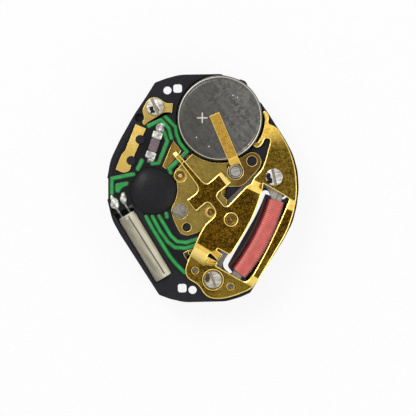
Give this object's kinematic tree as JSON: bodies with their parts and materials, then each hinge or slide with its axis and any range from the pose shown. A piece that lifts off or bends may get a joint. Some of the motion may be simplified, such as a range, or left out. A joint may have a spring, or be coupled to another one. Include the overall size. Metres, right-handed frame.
{
  "type": "quartz watch movement",
  "caption": "Small oval quartz watch movement with button cell, tuning-fork crystal, resin-covered chip, long motor coil, gilt bridges and a hand stack on its dial side.",
  "frame": {"origin": "on the hands' axis, in the plane of the dial seat", "axes": "+Z from the dial side to the battery side, +Y along the long side towards the battery, +X away from the stem"},
  "size_m": [0.0152, 0.0181, 0.0044],
  "materials": {
    "plate_black": "near-black moulded plastic, fine matte grain",
    "post_steel": "turned steel",
    "board_black": "near-black laminate",
    "track_green": "copper under green lacquer",
    "resin_black": "black resin",
    "silicon": "silicon",
    "ceramic_mauve": "ceramic",
    "solder": "bright solder",
    "can_metal": "drawn metal can",
    "quartz": "clear quartz",
    "gold_plate": "gold plated spring brass",
    "gold_matte": "matte gilt, fine speckle",
    "steel": "steel",
    "battery_steel": "plated steel with fine specks",
    "film": "insulating film",
    "coil_red": "red enamelled copper wire",
    "copper": "copper",
    "stator_iron": "soft iron",
    "magnet": "sintered magnet",
    "wheel_brass": "brass",
    "gasket": "nylon",
    "zinc": "zinc gel",
    "oxide": "pressed oxide",
    "paper": "separator"
  },
  "bodies": {
    "movement": {"main_plate": "plate_black", "screw_pillars": "post_steel", "pivot_posts": "post_steel", "circuit_board": "board_black", "copper_tracks": "track_green", "chip_cover": "resin_black", "chip_die": "silicon", "capacitor_body": "ceramic_mauve", "capacitor_end_caps": "solder", "crystal_leads": "solder", "solder_joints": "solder", "crystal_can": "can_metal", "quartz_fork": "quartz", "pad_contact": "gold_plate", "contact_plate": "gold_plate", "contact_lug": "gold_plate", "loop_contact": "gold_plate", "negative_contact": "gold_plate", "battery_strap": "gold_plate", "train_bridge": "gold_matte", "cover_plate": "gold_matte", "strap_rivet": "steel", "bridge_rivet": "steel", "cover_screws": "steel", "locating_studs": "steel", "keeper_plate": "steel", "keeper_screws": "steel", "rotor_bush": "steel", "battery_can": "battery_steel", "battery_cap": "battery_steel", "battery_insulator": "film", "coil_winding": "coil_red", "coil_lead": "copper", "stator": "stator_iron", "coil_core": "stator_iron", "upper_bushes": "wheel_brass", "centre_tube": "wheel_brass", "battery_gasket": "gasket", "crystal_base": "gasket", "anode_pellet": "zinc", "cathode_pellet": "oxide", "battery_separator": "paper"},
    "rotor": {"rotor_magnet": "magnet", "rotor_pinion": "steel"},
    "intermediate_gear": {"intermediate_wheel": "wheel_brass", "intermediate_pinion": "steel"},
    "seconds_gear": {"seconds_wheel": "wheel_brass", "seconds_arbor": "steel"},
    "third_gear": {"third_wheel": "wheel_brass", "third_pinion": "steel"},
    "centre_gear": {"centre_wheel": "wheel_brass", "cannon_pinion": "wheel_brass"},
    "minute_gear": {"minute_wheel": "wheel_brass", "minute_pinion": "wheel_brass"},
    "hour_gear": {"hour_wheel": "wheel_brass"},
    "setting_gear": {"setting_wheel": "steel"},
    "slide": {"setting_slide": "steel"},
    "clutch": {"clutch_pinion": "steel"},
    "slide_lever": {"setting_lever": "steel"},
    "stop_lever": {"reset_lever": "steel"}
  },
  "joints": [
    {"name": "rotor_spin", "type": "hinge", "parent": "movement", "child": "rotor", "pos_m": [0.00218, -0.00255, 0], "axis": [0, 0, 1], "continuous": true},
    {"name": "intermediate_spin", "type": "hinge", "parent": "movement", "child": "intermediate_gear", "pos_m": [0.0006, -0.00194, 0], "axis": [0, 0, 1], "continuous": true},
    {"name": "seconds_spin", "type": "hinge", "parent": "movement", "child": "seconds_gear", "pos_m": [0, 0, 0], "axis": [0, 0, 1], "continuous": true},
    {"name": "third_spin", "type": "hinge", "parent": "movement", "child": "third_gear", "pos_m": [-0.00178, 0.00103, 0], "axis": [0, 0, 1], "continuous": true},
    {"name": "centre_spin", "type": "hinge", "parent": "movement", "child": "centre_gear", "pos_m": [0, 0, 0], "axis": [0, 0, 1], "continuous": true},
    {"name": "minute_spin", "type": "hinge", "parent": "movement", "child": "minute_gear", "pos_m": [-0.00172, -0.0008, 0], "axis": [0, 0, 1], "continuous": true},
    {"name": "hour_spin", "type": "hinge", "parent": "movement", "child": "hour_gear", "pos_m": [0, 0, 0], "axis": [0, 0, 1], "continuous": true},
    {"name": "setting_wheel_spin", "type": "hinge", "parent": "movement", "child": "setting_gear", "pos_m": [-0.00386, 0, 0], "axis": [0, 0, 1], "continuous": true},
    {"name": "setting_slide_travel", "type": "slide", "parent": "movement", "child": "slide", "axis": [1, 0, 0], "range_m": [0, 0.0004]},
    {"name": "clutch_spin", "type": "hinge", "parent": "slide", "child": "clutch", "pos_m": [-0.00525, 0, 0.00072], "axis": [1, 0, 0], "continuous": true},
    {"name": "setting_lever_turn", "type": "hinge", "parent": "movement", "child": "slide_lever", "pos_m": [-0.00595, 0.00105, 0.00094], "axis": [0, 0, 1], "range_deg": [0, 20.06]},
    {"name": "reset_lever_turn", "type": "hinge", "parent": "movement", "child": "stop_lever", "pos_m": [-0.0045, -0.00105, 0.0007], "axis": [0, 0, 1], "range_deg": [-11.46, 0]}
  ],
  "couplings": [
    {"joint": "intermediate_spin", "follows": "rotor_spin", "ratio": -0.16667},
    {"joint": "seconds_spin", "follows": "rotor_spin", "ratio": 0.033333},
    {"joint": "third_spin", "follows": "rotor_spin", "ratio": -0.0044444},
    {"joint": "centre_spin", "follows": "rotor_spin", "ratio": 0.00055556},
    {"joint": "minute_spin", "follows": "rotor_spin", "ratio": -0.00018519},
    {"joint": "hour_spin", "follows": "rotor_spin", "ratio": 0.000046296},
    {"joint": "setting_wheel_spin", "follows": "rotor_spin", "ratio": 0.00030864},
    {"joint": "setting_lever_turn", "follows": "setting_slide_travel", "rad_per_m": 875},
    {"joint": "reset_lever_turn", "follows": "setting_slide_travel", "rad_per_m": -500}
  ]
}
